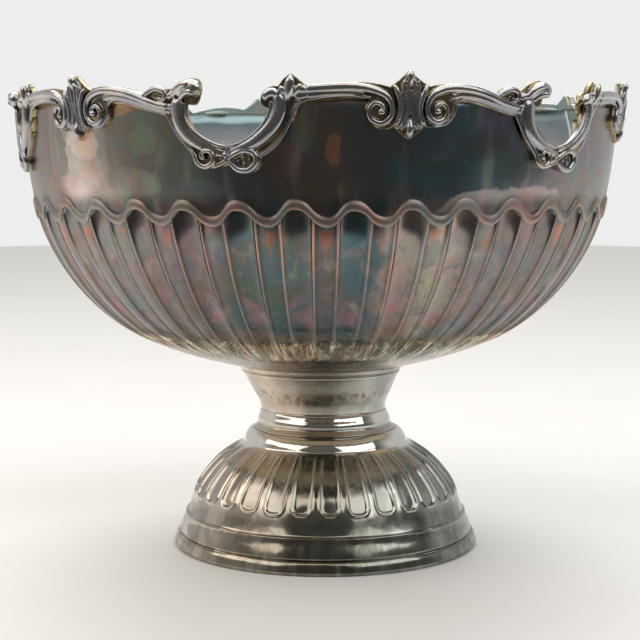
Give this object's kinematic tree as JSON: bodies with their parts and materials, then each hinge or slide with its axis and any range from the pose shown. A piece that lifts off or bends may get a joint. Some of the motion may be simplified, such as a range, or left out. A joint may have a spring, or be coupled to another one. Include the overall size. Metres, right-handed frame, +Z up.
{
  "type": "punch bowl",
  "caption": "Wide fluted metal punch bowl with a cast scroll-and-leaf rim cut by deep notches, on a waisted neck and a domed, fluted pedestal foot.",
  "frame": {"origin": "centre of the ring the foot stands on, at table height", "axes": "+Z up along the bowl's axis; a leaf of the rim is centred on -Y"},
  "size_m": [0.4016, 0.4022, 0.306],
  "materials": {
    "bowl_sheet": "silver plate over brass, polished once and now darkly and unevenly tarnished with blue, rose and gold tints",
    "rim_casting": "silver plated casting, bright on the ridges with dark yellow-brown tarnish in the recesses",
    "foot_sheet": "warm, lightly tarnished silver plate over brass",
    "plain_brass": "dull unplated brass with solder at its edge",
    "fixing_steel": "plain steel, slightly dulled"
  },
  "bodies": {
    "root": {"bowl_shell": "bowl_sheet", "bowl_collar_ring": "foot_sheet", "rim_leaf_1": "rim_casting", "rim_leaf_2": "rim_casting", "rim_leaf_3": "rim_casting", "rim_leaf_4": "rim_casting", "rim_leaf_5": "rim_casting", "rim_leaf_6": "rim_casting", "rim_notch_1": "rim_casting", "rim_notch_2": "rim_casting", "rim_notch_3": "rim_casting", "rim_notch_4": "rim_casting", "rim_notch_5": "rim_casting", "rim_notch_6": "rim_casting", "foot_neck": "foot_sheet", "foot_dome": "foot_sheet", "foot_base_band": "foot_sheet", "bowl_boss": "plain_brass", "fixing_stud": "fixing_steel", "neck_plate": "plain_brass", "stud_washer": "fixing_steel", "stud_nut": "fixing_steel"}
  },
  "joints": []
}
